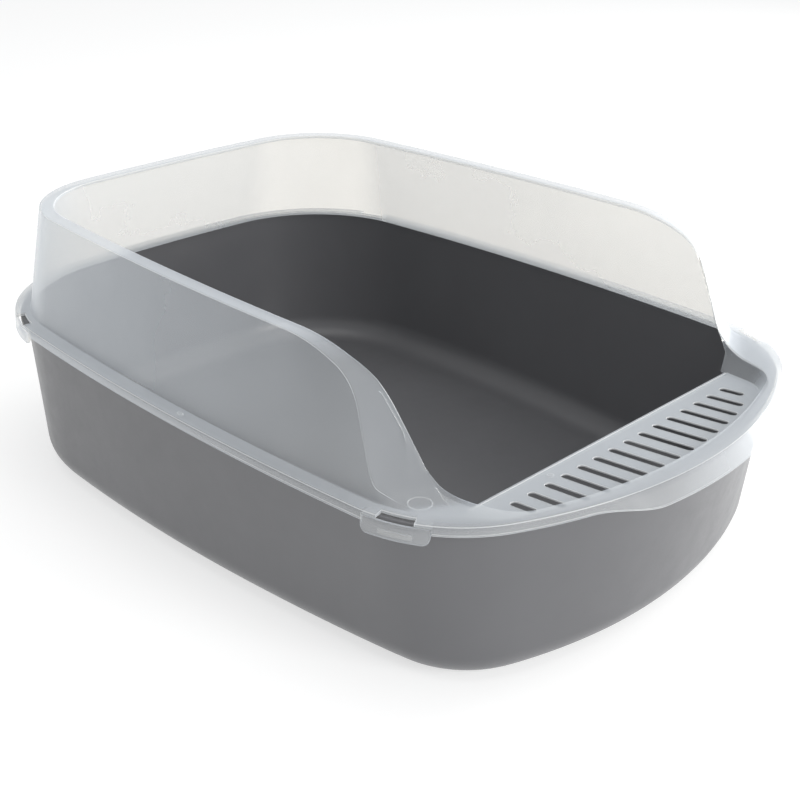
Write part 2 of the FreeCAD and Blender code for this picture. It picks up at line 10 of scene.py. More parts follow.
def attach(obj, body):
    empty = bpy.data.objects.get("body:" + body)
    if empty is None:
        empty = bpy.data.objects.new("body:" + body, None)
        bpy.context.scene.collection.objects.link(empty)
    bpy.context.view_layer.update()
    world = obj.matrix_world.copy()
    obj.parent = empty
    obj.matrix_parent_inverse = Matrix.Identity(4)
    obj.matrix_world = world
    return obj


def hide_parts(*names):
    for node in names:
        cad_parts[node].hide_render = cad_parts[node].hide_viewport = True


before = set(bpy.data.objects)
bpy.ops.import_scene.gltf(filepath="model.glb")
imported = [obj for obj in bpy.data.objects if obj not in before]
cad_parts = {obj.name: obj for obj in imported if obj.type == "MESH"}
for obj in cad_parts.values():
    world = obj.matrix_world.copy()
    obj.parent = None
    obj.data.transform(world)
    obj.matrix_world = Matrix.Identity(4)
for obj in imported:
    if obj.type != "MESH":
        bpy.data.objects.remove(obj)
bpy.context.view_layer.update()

# A deep grey litter tray and the clear guard that clips over its rim.
# Lengths are in millimetres until a mesh is made; Z is up and the entry step is at -Y.

MM = 0.001
CREASE = math.radians(32.0)
RIM_LEVEL = 116.0
THICK = 2.0
WALL_LEVEL = 190.0
PLAN_LEVEL = 200.0
ROLL_LOW = 108.3
TRAY_TOP = 113.5
TRAY_WALL = 2.2
STEP_EDGE = 192.6
STEP_LEVEL = 103.9
STEP_RISE = 0.089
STEP_WALL = 1.4
STEP_DRAFT = 7.0
CHEEK_SLOPE = 27.1 / 17.5
FLAPS = {"front": (-21.48, 87.0), "rear": (17.33, 108.0)}


# ---------------------------------------------------------------- plan curves

def unit(angle):
    return np.stack([np.cos(angle), np.sin(angle)], axis=-1)


def meeting(first, r_first, second, r_second, toward):
    """Centre at given distances from two others, right of the Y axis, nearest -Y or +Y."""
    line = second - first
    span = np.hypot(*line)
    along = (r_first ** 2 - r_second ** 2 + span ** 2) / (2 * span)
    aside = math.sqrt(r_first ** 2 - along ** 2)
    line = line / span
    normal = np.array([-line[1], line[0]])
    both = [first + line * along + normal * aside, first + line * along - normal * aside]
    return max((p for p in both if p[0] > 0), key=lambda p: p[1] * toward)


def bearing(centre, point):
    return math.atan2(point[1] - centre[1], point[0] - centre[0])


def eight_arcs(half, front, back, r_front, r_back, r_side, c_front, c_back, belly, gap=0.0):
    """Right half of a rounded outline, moved in by gap: (centre, radius, last normal angle)."""
    half, front, back = half - gap, front - gap, back - gap
    r_front, r_back, r_side = r_front - gap, r_back - gap, r_side - gap
    c_front, c_back = c_front - gap, c_back - gap
    ahead = np.array([0.0, r_front - front])
    behind = np.array([0.0, back - r_back])
    beside = np.array([half - r_side, belly])
    low = meeting(ahead, r_front - c_front, beside, r_side - c_front, -1)
    high = meeting(behind, r_back - c_back, beside, r_side - c_back, 1)
    return [(ahead, r_front, bearing(ahead, low)), (low, c_front, bearing(beside, low)),
            (beside, r_side, bearing(beside, high)), (high, c_back, bearing(behind, high)),
            (behind, r_back, math.pi / 2)]


def rim(gap=0.0):
    return eight_arcs(187.0, 263.0, 270.0, 296.0, 1300.0, 2000.0, 87.0, 108.0, -3.0, gap)


def base(gap=0.0):
    return eight_arcs(176.5, 241.0, 255.0, 330.0, 1600.0, 1350.0, 64.0, 113.0, 75.0, gap)


def wall_plan(gap=0.0):
    return eight_arcs(161.1, 233.9, 236.9, 285.0, 1754.0, 2567.0, 76.0, 72.1, -44.9, gap)


def mouth(gap=0.0):
    """Free edge of the guard: round the entry step, up a leaning line and along the ledge."""
    ledge = 8.3 + gap
    r_front, corner, bend = 335.0 - gap, 28.0 - gap, 120.0 - gap
    r_side, r_back, c_back = 2567.0 - ledge, 1754.0 - ledge, 72.1 - ledge
    lean = math.radians(17.0)
    run = np.array([math.sin(lean), math.cos(lean)])
    inward = np.array([-math.cos(lean), math.sin(lean)])
    station = np.array([134.5, -196.0])
    ahead = np.array([0.0, r_front - (250.8 - gap)])
    behind = np.array([0.0, 236.9 - ledge - r_back])
    beside = np.array([161.1 - ledge - r_side, -44.9])

    def on_line(radius, centre, span, toward):
        start = station + inward * (gap + radius) - centre
        half = start @ run
        root = math.sqrt(half ** 2 - start @ start + span ** 2)
        return centre + start + run * (-half + toward * root)

    low = on_line(corner, ahead, r_front - corner, -1)
    turn = on_line(bend, beside, r_side - bend, 1)
    high = meeting(behind, r_back - c_back, beside, r_side - c_back, 1)
    return [(ahead, r_front, bearing(ahead, low)), (low, corner, -lean),
            (turn, bend, bearing(beside, turn)), (beside, r_side, bearing(beside, high)),
            (high, c_back, bearing(behind, high)), (behind, r_back, math.pi / 2)]


def closed_curve(arcs, step=0.2):
    """Dense closed polyline of an outline, both halves."""
    right = []
    start = -math.pi / 2
    for centre, radius, end in arcs:
        count = max(3, int(math.degrees(end - start) / step))
        right.append(centre + radius * unit(np.linspace(start, end, count)))
        start = end
    right = np.concatenate(right)
    return np.concatenate([right, (right * [-1, 1])[::-1]])


def inset_to(points, normals, arcs):
    """Distance inward from each rim point, along its normal, to another outline."""
    curve = closed_curve(arcs)
    first, second = curve, np.roll(curve, -1, axis=0)
    side = (second - first)[None]
    away = first[None] - points[:, None]
    ray = -normals[:, None]
    cross = ray[..., 0] * side[..., 1] - ray[..., 1] * side[..., 0]
    cross = np.where(np.abs(cross) < 1e-12, 1e-12, cross)
    far = (away[..., 0] * side[..., 1] - away[..., 1] * side[..., 0]) / cross
    share = (away[..., 0] * ray[..., 1] - away[..., 1] * ray[..., 0]) / cross
    good = (share >= -1e-9) & (share <= 1 + 1e-9) & (far > -5)
    return np.where(good, far, 1e9).min(axis=1)


def smooth(value):
    value = np.clip(value, 0.0, 1.0)
    return value * value * (3 - 2 * value)


# ---------------------------------------------------------------- sweep of the guard's wall

def sweep_level(v, offset):
    """Height of the wall's edge along the box: level, over the shoulder and crest, down to the rim."""
    top, low = WALL_LEVEL - offset, RIM_LEVEL - offset
    shoulder, crest, foot = 130.0 - offset, 36.0 - offset, 27.0 + offset
    first, steep = math.radians(20.0), math.radians(66.5)
    start = -80.0
    join = (start - shoulder * math.sin(first), top - shoulder * (1 - math.cos(first)))
    hub = (join[0] + crest * math.sin(first), join[1] - crest * math.cos(first))
    knee = (hub[0] - crest * math.sin(steep), hub[1] + crest * math.cos(steep))
    fall = knee[1] - low - foot * (1 - math.cos(steep))
    toe = knee[0] - fall / math.tan(steep)
    end = toe - foot * math.sin(steep)

    def over(centre, radius):
        return centre[1] + np.sqrt(np.maximum(radius ** 2 - (v - centre[0]) ** 2, 0))

    rise = low + foot - np.sqrt(np.maximum(foot ** 2 - (v - end) ** 2, 0))
    return np.select([v >= start, v >= join[0], v >= knee[0], v >= toe, v >= end],
                     [top, over((start, top - shoulder), shoulder), over(hub, crest),
                      knee[1] - (knee[0] - v) * math.tan(steep), rise], low)


# ---------------------------------------------------------------- section meshes

def rounded_paths(corners, radii, steps, closed):
    """Rounds the corners of one polyline per column; corners is (columns, count, 2)."""
    rows = []
    count = corners.shape[1]
    for i in range(count):
        here = corners[:, i]
        if radii[i] == 0 or (not closed and i in (0, count - 1)):
            rows.append(here)
            continue
        back = corners[:, i - 1] - here
        on = corners[:, (i + 1) % count] - here
        back_len = np.maximum(np.hypot(*back.T), 1e-6)[:, None]
        on_len = np.maximum(np.hypot(*on.T), 1e-6)[:, None]
        back, on = back / back_len, on / on_len
        angle = np.arccos(np.clip((back * on).sum(axis=1), -1, 1))[:, None]
        tangent = np.tan(np.clip(angle, 0.02, math.pi - 1e-4) / 2)
        reach = np.minimum(radii[i] / tangent, 0.48 * np.minimum(back_len, on_len))
        turn = np.maximum(math.pi - angle, 1e-4)
        middle = here + (back + on) * reach / np.maximum(1 + np.cos(angle), 1e-9)
        start, finish = here + back * reach - middle, here + on * reach - middle
        straight = turn < 0.02
        for k in range(steps[i] + 1):
            share = k / steps[i]
            bent = middle + (np.sin((1 - share) * turn) * start
                             + np.sin(share * turn) * finish) / np.sin(turn)
            flat = here + (back * (1 - share) + on * share) * reach
            rows.append(np.where(straight, flat, bent))
    return np.stack(rows, axis=1)


def lay_out(points, normals, section):
    """Section coordinates (inset, level) to XYZ for every column."""
    plan = points[:, None] - normals[:, None] * section[..., :1]
    return np.concatenate([plan, section[..., 1:]], axis=-1)


def make_object(name, verts, faces, tags=None, edges=None):
    """Object from millimetre points; tags name each face's part and edges picks its material, 1 being the
    whiter, denser painted-highlight material.
    """
    mesh = bpy.data.meshes.new(name)
    mesh.from_pydata([tuple(v) for v in np.asarray(verts) * MM], [], faces)
    if tags is not None:
        mesh.attributes.new("part", "INT", "FACE").data.foreach_set("value", tags)
    if edges is not None:
        mesh.polygons.foreach_set("material_index", edges)
    obj = bpy.data.objects.new(name, mesh)
    bpy.context.scene.collection.objects.link(obj)
    return obj


def finish_mesh(obj, merge=True):
    """Joins coincident points, turns faces outward and shades smooth between creases."""
    bm = bmesh.new()
    bm.from_mesh(obj.data)
    if merge:
        bmesh.ops.remove_doubles(bm, verts=bm.verts, dist=2e-6)
        bmesh.ops.dissolve_degenerate(bm, edges=bm.edges, dist=1e-6)
    bmesh.ops.recalc_face_normals(bm, faces=bm.faces)
    bm.to_mesh(obj.data)
    bm.free()
    obj.data.shade_smooth()
    obj.data.set_sharp_from_angle(angle=CREASE)
    keeper = obj.modifiers.new("even_shading", "WEIGHTED_NORMAL")
    keeper.keep_sharp = True
    return obj


def ring_mesh(name, right, closed_rows, tagger=None, caps=False, painted_highlight_rows=()):
    """Mesh of a right half (columns, rows, 3) and its mirror image, joined at x = 0; caps fill both ends."""
    left = right[1:-1][::-1] * [-1, 1, 1]
    grid = np.concatenate([right, left])
    columns, rows = grid.shape[:2]
    faces, tags, edges = [], [], []
    for c in range(columns):
        d = (c + 1) % columns
        half_column = c if c < len(right) - 1 else 2 * (len(right) - 1) - 1 - c
        for r in range(rows if closed_rows else rows - 1):
            s = (r + 1) % rows
            faces.append((c * rows + r, d * rows + r, d * rows + s, c * rows + s))
            tags.append(tagger(half_column, r) if tagger else 0)
            # Rows in painted_highlight_rows get material 1, a painted highlight.
            edges.append(int(r in painted_highlight_rows))
    verts = grid.reshape(-1, 3)
    if caps:
        for row in (0, rows - 1):
            middle = len(verts)
            centre = grid[:, row].mean(axis=0)
            verts = np.concatenate([verts, centre[None]])
            for c in range(columns):
                d = (c + 1) % columns
                faces.append((c * rows + row, middle, d * rows + row))
                edges.append(0)
    return make_object(name, verts, faces, tags if tagger else None, edges)


# ---------------------------------------------------------------- columns round the rim

def rim_angles(extra=()):
    """Normal angles of the columns: close together at the corners and along the sweep."""
    ahead, low, beside, high, behind = rim()
    pieces = [np.linspace(-math.pi / 2, ahead[2], 64), np.linspace(ahead[2], low[2], 80),
              np.linspace(low[2], -0.030, 56),
              np.linspace(-0.030, beside[2], 30), np.linspace(beside[2], high[2], 56),
              np.linspace(high[2], math.pi / 2, 26), np.array(extra)]
    return np.unique(np.concatenate(pieces).round(9))


def on_rim(angles):
    """Points and outward normals of the rim's crease at the given normal angles."""
    points = np.zeros((len(angles), 2))
    start = -math.pi / 2 - 1e-6
    for centre, radius, end in rim():
        pick = (angles >= start) & (angles <= end + 1e-9)
        points[pick] = centre + radius * unit(angles[pick])
        start = end
    return points, unit(angles)


def flap_cuts():
    """Angle limits of each flap's opening and of the window above it."""
    cuts = []
    for angle, radius in FLAPS.values():
        middle = math.radians(angle)
        cuts.append((middle - 20.4 / radius, middle + 20.4 / radius, 1))
        cuts.append((middle - 11.0 / radius, middle + 11.0 / radius, 2))
    return cuts


def cut_columns():
    """Column angles with a state: 0 whole, 1 no skirt, 2 window. Limits appear twice."""
    cuts = flap_cuts()
    angles = rim_angles([limit for cut in cuts for limit in cut[:2]])
    between = (angles[1:] + angles[:-1]) / 2
    state = np.zeros(len(between), int)
    for low, high, kind in cuts:
        state[(between > low) & (between < high)] = kind
    before = np.concatenate([state[:1], state])
    after = np.concatenate([state, state[-1:]])
    out = []
    for angle, left, right in zip(angles, before, after):
        out.append((angle, left))
        if left != right:
            out.append((angle, right))
    return np.array([a for a, _ in out]), np.array([s for _, s in out])


def pull_share(points):
    """1 at the pull lip in the middle of the front, 0 elsewhere."""
    return smooth((90.0 - np.abs(points[:, 0])) / 46.0) * (points[:, 1] < 0)


# ---------------------------------------------------------------- guard

def guard_section():
    """Closed section of the guard at every column, and what the parts need from it."""
    angles, state = cut_columns()
    points, normals = on_rim(angles)
    edge = inset_to(points, normals, mouth())
    slant = (inset_to(points, normals, mouth(STEP_DRAFT)) - edge) / STEP_DRAFT
    top = inset_to(points, normals, wall_plan())

    def plan(u):
        return points - normals * u[:, None]

    def ledge(u, offset):
        at = plan(u)
        v = at[:, 1] - 0.6 * (np.maximum(at[:, 0], 100.0) - 167.0)
        return np.maximum(sweep_level(v, offset), RIM_LEVEL - offset)

    def crest(foot, inset_top, offset):
        level = np.full(len(points), WALL_LEVEL - offset)
        for _ in range(60):
            u = foot + (inset_top - foot) * (level - 114.0) / (PLAN_LEVEL - 114.0)
            level = 0.5 * level + 0.5 * ledge(u, offset)
        return level

    height = crest(11.0, top, 0.0)
    flat = 1 - smooth((height - RIM_LEVEL) / 8.0)
    extra = flat * np.minimum(3.0, 0.2 * edge)
    foot = np.minimum(11.0, 0.4 * edge)
    u_crest = foot + (top - 11.0) * (height - 114.0) / (PLAN_LEVEL - 114.0) + extra
    foot_in = np.minimum(13.0, 0.55 * edge)
    height_in = crest(13.0, top + THICK, THICK)
    u_crest_in = foot_in + (top + THICK - 13.0) * (height_in - 114.0) / (PLAN_LEVEL - 114.0) + extra
    z_edge = ledge(edge, 0.0)
    at_edge = plan(edge)[:, 1]
    floor = STEP_LEVEL - STEP_RISE * (STEP_EDGE + at_edge)
    cheek = STEP_LEVEL + CHEEK_SLOPE * (at_edge + STEP_EDGE)
    under_edge = np.where(at_edge < -STEP_EDGE, floor, cheek) - STEP_WALL
    low = np.minimum(under_edge, z_edge - THICK)
    tub = smooth((z_edge - THICK - low) / 3.0)

    def inside(z):
        return edge + slant * STEP_DRAFT * np.clip((114.0 - z) / 12.1, 0, None)

    z_mid = np.clip(114.0 + 0 * low, low + 0.3 * (z_edge - low), z_edge - 0.3 * (z_edge - low))
    wall = STEP_WALL * slant

    def mixed(u_open, u_tub, z_tub):
        u = u_open + (u_tub - u_open) * tub
        z_open = ledge(u, THICK)
        return np.stack([u, z_open + (z_tub - z_open) * tub], axis=-1)

    def pair(u, z):
        return np.stack([u + 0 * low, z + 0 * low], axis=-1)

    under_join = ledge(edge - wall, THICK)
    nodes = [
        (pair(edge, z_edge), 1.1, 3),
        (pair(inside(z_mid), z_mid), 2.0, 2),
        (pair(inside(low), low), 0.4, 1),
        (mixed(edge - 2.0, inside(low) - wall, low), 0.4, 1),
        (mixed(edge - 4.0, inside(z_mid) - wall, z_mid), 0.0, 1),
        (mixed(edge - 6.0, edge - wall, under_join), 0.3, 1),
    ]
    join = nodes[-1][0][:, 0]
    for share in (0.2, 0.4, 0.6, 0.8):
        u = join + (u_crest_in - join) * share
        nodes.append((pair(u, ledge(u, THICK)), 0.0, 1))
    nodes.append((pair(u_crest_in, ledge(u_crest_in, THICK)), 1.0, 2))
    nodes.append((pair(foot_in, 114.0), 1.0, 2))
    lip = 1.15 + 7.1 * pull_share(points)
    bottom = 110.0 - 5.0 * pull_share(points)
    flare = -lip * (RIM_LEVEL - bottom) / 12.0
    start = np.where(state == 2, 6.0, 0.0)
    whole = state == 0
    nodes += [
        (pair(np.where(whole, THICK, start + 2.6), 114.0), 0.8, 2),
        (pair(np.where(whole, flare + THICK, start + 1.2), np.where(whole, bottom, 114.0)), 0.3, 1),
        (pair(np.where(whole, flare, start), np.where(whole, bottom, 114.0)), 0.3, 1),
        (pair(start, RIM_LEVEL), 1.1, 3),
        (pair(foot, RIM_LEVEL), 1.6, 3),
        (pair(u_crest, ledge(u_crest, 0.0)), 1.5, 3),
    ]
    for share in (0.12, 0.25, 0.4, 0.55, 0.7, 0.85):
        u = u_crest + (edge - u_crest) * share
        nodes.append((pair(u, ledge(u, 0.0)), 0.0, 1))
    corners = np.stack([n[0] for n in nodes], axis=1)
    radii = [n[1] for n in nodes]
    steps = [n[2] for n in nodes]
    section = rounded_paths(corners, radii, steps, True)
    facts = {"points": points, "normals": normals, "inside": inside, "floor": floor,
             "at_edge": at_edge, "plan": plan, "steps": steps, "radii": radii}
    return lay_out(points, normals, section), facts


def row_starts(radii, steps):
    """First row of each section corner."""
    starts, row = [], 0
    for radius, count in zip(radii, steps):
        starts.append(row)
        row += 1 if radius == 0 else count + 1
    return starts


def build_guard():
    grid, facts = guard_section()
    starts = row_starts(facts["radii"], facts["steps"])
    tub_top, tub_join, foot_in = starts[1], starts[5], starts[11]
    foot, crest = starts[16], starts[17]
    at_edge = facts["at_edge"]
    toe = np.argmax(grid[:, starts[17], 2] > RIM_LEVEL + 0.4)

    def part(column, row):
        if tub_top <= row < tub_join and at_edge[column] < -170.0:
            return 2
        wall_rows = row >= foot + 1 or row < foot_in + 1
        return 1 if wall_rows and column >= toe else 0

    # The free edge, the skirt's lower corners, the rim's outer corner and the crest get the whiter, denser
    # material that paints their bright highlight lines.
    painted_highlight_rows = {starts[0] + 1, starts[13], starts[14], starts[15] + 1, starts[17] + 1}
    whole = ring_mesh("guard", grid, True, part, painted_highlight_rows=painted_highlight_rows)
    return whole, facts


def split_parts(whole, names):
    """One object per tag, open where it meets its neighbour, with the shared creases kept."""
    out = []
    for tag, name in enumerate(names):
        bm = bmesh.new()
        bm.from_mesh(whole.data)
        layer = bm.faces.layers.int["part"]
        bmesh.ops.delete(bm, geom=[f for f in bm.faces if f[layer] != tag], context="FACES")
        mesh = bpy.data.meshes.new(name)
        bm.to_mesh(mesh)
        bm.free()
        obj = bpy.data.objects.new(name, mesh)
        bpy.context.scene.collection.objects.link(obj)
        out.append(obj)
    bpy.data.objects.remove(whole)
    return out


# ---------------------------------------------------------------- slotted step

SLOTS = 15
SLOT_PITCH = 14.75
SLOT_HALF = 2.55
SLOT_START = -204.6


def slot_loop(x, near, far, half):
    """Round-ended slot outline, counter-clockwise."""
    turn = np.linspace(0, math.pi, 9)
    top = np.stack([x + half * np.cos(turn), near + half * np.sin(turn)], axis=-1)
    bottom = np.stack([x - half * np.cos(turn), far - half * np.sin(turn)], axis=-1)
    return np.concatenate([top, bottom])


def step_level(y):
    return STEP_LEVEL - STEP_RISE * (STEP_EDGE + y)


def build_plate(facts):
    """Plate that fills the tub, with a row of slots that have softened rims; the rim faces are listed to
    take the painted-highlight material.
    """
    pick = facts["at_edge"] < -STEP_EDGE - 1.5
    level = facts["floor"]
    rim_line = facts["plan"](facts["inside"](level) - 0.7)[pick]
    end = np.array([[rim_line[-1][0] - 0.4, -STEP_EDGE - 0.6]])
    right = np.concatenate([rim_line, end])
    outer = np.concatenate([right, (right[1:] * [-1, 1])[::-1]])
    slots = []
    for index in range(SLOTS):
        x = (index - (SLOTS - 1) / 2) * SLOT_PITCH
        edge = 335.0 - 250.8 - math.sqrt(335.0 ** 2 - x ** 2)
        far = edge + 7.4 + 0.05 * max(0.0, abs(x) - 80) ** 1.5
        slots.append((x, SLOT_START - SLOT_HALF, far + SLOT_HALF))
    verts, faces, painted_highlight_faces = [], [], []

    def add_face_sheet(grow, drop, flip):
        loops = [outer] + [slot_loop(x, a, b, SLOT_HALF + grow) for x, a, b in slots]
        flat = [Vector(p) for loop in loops for p in loop]
        rings, count = [], 0
        for loop in loops:
            rings.append(list(range(count, count + len(loop))))
            count += len(loop)
        found = delaunay_2d_cdt(flat, [], rings, 1, 1e-6, True)
        start = len(verts)
        for p in found[0]:
            verts.append((p.x, p.y, step_level(p.y) - drop))
        for face, owners in zip(found[2], found[5]):
            if list(owners) == [0]:
                faces.append([start + i for i in (face[::-1] if flip else face)])

    add_face_sheet(0.45, 0.0, False)
    add_face_sheet(0.6, STEP_WALL, True)
    start = len(verts)
    total = len(outer)
    for drop in (STEP_WALL, 0.0):
        for x, y in outer:
            verts.append((x, y, step_level(y) - drop))
    for i in range(total):
        j = (i + 1) % total
        faces.append([start + i, start + j, start + total + j, start + total + i])
    for x, near, far in slots:
        rings = [(0.45, 0.0), (0.14, 0.13), (0.0, 0.4), (0.0, 0.7), (0.6, STEP_WALL)]
        start = len(verts)
        total = len(slot_loop(x, near, far, 1.0))
        for grow, drop in rings:
            for px, py in slot_loop(x, near, far, SLOT_HALF + grow):
                verts.append((px, py, step_level(py) - drop))
        for k in range(len(rings) - 1):
            for i in range(total):
                j = (i + 1) % total
                a, b = start + k * total, start + (k + 1) * total
                # Every slot rim face takes the whiter painted-highlight material.
                painted_highlight_faces.append(len(faces))
                faces.append([a + i, a + j, b + j, b + i])
    return verts, faces, painted_highlight_faces


def bar_mesh(verts, faces, x_ends, profile):
    """Adds a straight bar with a (y, z) profile between two x stations."""
    start = len(verts)
    total = len(profile)
    for x in x_ends:
        verts.extend((x, y, z) for y, z in profile)
    for i in range(total):
        j = (i + 1) % total
        faces.append([start + i, start + j, start + total + j, start + total + i])
    faces.append([start + i for i in range(total)][::-1])
    faces.append([start + total + i for i in range(total)])


def build_step(tub, facts):
    """Tub walls, plate and the raised bead along the plate's inner edge, as one piece."""
    verts, faces, painted_highlight_faces = build_plate(facts)
    level = step_level(-STEP_EDGE)
    turn = np.linspace(0, math.pi, 7)
    bead = [(-STEP_EDGE - 0.9 + 0.9 * math.cos(a), level + 0.5 + 0.7 * math.sin(a)) for a in turn]
    bead += [(-STEP_EDGE - 1.8, level - STEP_WALL), (-STEP_EDGE, level - STEP_WALL)]
    # The bead's top faces take the painted-highlight material too.
    painted_highlight_faces += [len(faces) + i for i in (0, 1, 4, 5)]
    bar_mesh(verts, faces, (-126.6, 126.6), bead)
    painted_highlight_faces = set(painted_highlight_faces)
    plate = make_object("step_plate", verts, faces, edges=[int(i in painted_highlight_faces) for i in range(len(faces))])
    bm = bmesh.new()
    bm.from_mesh(tub.data)
    bm.from_mesh(plate.data)
    bm.to_mesh(tub.data)
    bm.free()
    bpy.data.objects.remove(plate)
    return tub


# ---------------------------------------------------------------- moulding marks

def add_mark(obj, centre, ring, stretch=1.0):
    """Low round rib from a closed (radius, level) section, seated in the surface."""
    bm = bmesh.new()
    bm.from_mesh(obj.data)
    loops = []
    for radius, level in ring:
        turn = np.linspace(0, 2 * math.pi, 40, endpoint=False)
        spots = [(centre[0] + radius * math.cos(a), centre[1] + stretch * radius * math.sin(a), level)
                 for a in turn]
        loops.append([bm.verts.new(np.array(p) * MM) for p in spots])
    for low, high in zip(loops, loops[1:] + loops[:1]):
        for i in range(len(low)):
            j = (i + 1) % len(low)
            face = bm.faces.new((low[i], low[j], high[j], high[i]))
            face.smooth = True
    bm.to_mesh(obj.data)
    bm.free()


def add_marks(rim_piece, step_piece):
    """Ejector disc and gate mark on the near flange, and a small ring on the step."""
    deep, flat = RIM_LEVEL - 0.5, RIM_LEVEL
    add_mark(rim_piece, (-153.0, -183.0), [(7.0, deep), (7.0, flat), (6.8, flat + 0.14),
                                           (6.5, flat + 0.14), (6.3, deep)])
    add_mark(rim_piece, (-181.5, -8.0), [(1.7, deep), (1.7, flat), (1.45, flat + 0.2),
                                         (1.0, flat + 0.2), (0.8, deep)], 1.8)
    level = step_level(-200.0)
    add_mark(step_piece, (-64.0, -200.0), [(2.3, level - 0.5), (2.3, level + 0.1), (2.0, level + 0.25),
                                           (1.5, level + 0.25), (1.3, level - 0.5)])


# ---------------------------------------------------------------- snap flaps

def build_flap(place, side):
    """Curved tongue in the skirt with rounded lower corners and a ridge inside."""
    angle, radius = FLAPS[place]
    middle = math.radians(angle)
    along = np.concatenate([np.linspace(-20, -15, 9), np.linspace(-14, 14, 15), np.linspace(15, 20, 9)])
    angles = middle + along / radius
    points, normals = on_rim(angles)
    over = np.clip(np.abs(along) - 15.5, 0, 4.5)
    low = 104.2 + 4.5 - np.sqrt(np.maximum(4.5 ** 2 - over ** 2, 0))
    low = np.minimum(low, 108.5)
    lean = 1.2 + 0.9 * (place == "front")

    def face(z):
        return -lean * (RIM_LEVEL - z) / 12.0

    top = 113.3 + 0 * low
    corners = np.stack([np.stack([face(top), top], -1), np.stack([face(low), low], -1),
                        np.stack([face(low) + THICK, low], -1),
                        np.stack([face(top) + THICK, top], -1)], axis=1)
    section = rounded_paths(corners, [0.35] * 4, [2] * 4, True)
    grid = lay_out(points, normals, section)
    catch = np.abs(along) <= 10.01
    ridge = np.stack([np.array([face(107.8) + 1.7, 107.8]), np.array([face(107.8) + 2.85, 107.7]),
                      np.array([face(106.9) + 2.85, 106.9]), np.array([face(105.4) + 1.7, 105.4])])
    ridge = np.repeat(ridge[None], catch.sum(), axis=0)
    inner = lay_out(points[catch], normals[catch], ridge)
    verts, faces = [], []
    for block in (grid, inner):
        start = len(verts)
        columns, rows = block.shape[:2]
        verts.extend(block.reshape(-1, 3) * [side, 1, 1])
        for c in range(columns - 1):
            for r in range(rows):
                s = (r + 1) % rows
                faces.append([start + c * rows + r, start + (c + 1) * rows + r,
                              start + (c + 1) * rows + s, start + c * rows + s])
        faces.append([start + r for r in range(rows)])
        faces.append([start + (columns - 1) * rows + r for r in range(rows)][::-1])
    name = "snap_%s_%s_shape" % (place, "right" if side > 0 else "left")
    return finish_mesh(make_object(name, verts, faces), merge=False)


# ---------------------------------------------------------------- tray

def build_tray():
    """Drafted walls, generous bottom rounds and a rolled rim with a short lip."""
    angles = rim_angles()
    points, normals = on_rim(angles)
    foot = inset_to(points, normals, base())
    foot_in = inset_to(points, normals, base(TRAY_WALL))
    top, top_in = 7.0, 7.0 + TRAY_WALL

    def pair(u, z):
        return np.stack([u + 0 * foot, z + 0 * foot], axis=-1)

    def outer(z):
        return foot + (top - foot) * z / TRAY_TOP

    nodes = [(pair(foot + 42, 0.0), 0, 1), (pair(foot, 0.0), 22.0, 12),
             (pair(outer(60.0), 60.0), 0, 1), (pair(outer(111.0), 111.0), 0.8, 2),
             (pair(5.4, 111.0), 0.6, 2), (pair(5.4, ROLL_LOW), 0.5, 2),
             (pair(3.2, ROLL_LOW), 0.6, 2), (pair(3.2, TRAY_TOP), 1.8, 4), (pair(top_in, TRAY_TOP), 0.9, 3),
             (pair(foot_in + (top_in - foot_in) * 0.5, 57.0), 0, 1),
             (pair(foot_in, TRAY_WALL), 22.0 - TRAY_WALL, 12), (pair(foot_in + 42, TRAY_WALL), 0, 1)]
    corners = np.stack([n[0] for n in nodes], axis=1)
    section = rounded_paths(corners, [n[1] for n in nodes], [n[2] for n in nodes], False)
    grid = lay_out(points, normals, section)
    rings = (0.25, 0.55, 0.8)
    under = [grid[:, 0] * [1 - share, 1 - share, 1] for share in rings[::-1]]
    over = [grid[:, -1] * [1 - share, 1 - share, 1] for share in rings]
    grid = np.concatenate([np.stack(under, 1), grid, np.stack(over, 1)], axis=1)
    return finish_mesh(ring_mesh("tray_shape", grid, False, caps=True))


# ---------------------------------------------------------------- materials

def node_tree(name):
    material = bpy.data.materials.new(name)
    material.use_nodes = True
    tree = material.node_tree
    tree.nodes.clear()
    return material, tree, tree.nodes, tree.links


def noise(nodes, links, scale, detail, rough=0.5):
    where = nodes.new("ShaderNodeTexCoord")
    item = nodes.new("ShaderNodeTexNoise")
    item.inputs["Scale"].default_value = scale
    item.inputs["Detail"].default_value = detail
    item.inputs["Roughness"].default_value = rough
    links.new(where.outputs["Object"], item.inputs["Vector"])
    return item.outputs["Fac"]


def ranged(nodes, links, source, low, high, start=0.3, end=0.7):
    item = nodes.new("ShaderNodeMapRange")
    for key, number in (("From Min", start), ("From Max", end), ("To Min", low), ("To Max", high)):
        item.inputs[key].default_value = number
    links.new(source, item.inputs["Value"])
    return item.outputs["Result"]


def mixed_color(nodes, links, source, first, second):
    item = nodes.new("ShaderNodeMix")
    item.data_type = "RGBA"
    links.new(source, item.inputs["Factor"])
    item.inputs[6].default_value = (*first, 1)
    item.inputs[7].default_value = (*second, 1)
    return item.outputs[2]


def bump(nodes, links, height, strength, distance, before=None):
    item = nodes.new("ShaderNodeBump")
    item.inputs["Strength"].default_value = strength
    item.inputs["Distance"].default_value = distance
    links.new(height, item.inputs["Height"])
    if before is not None:
        links.new(before, item.inputs["Normal"])
    return item.outputs["Normal"]


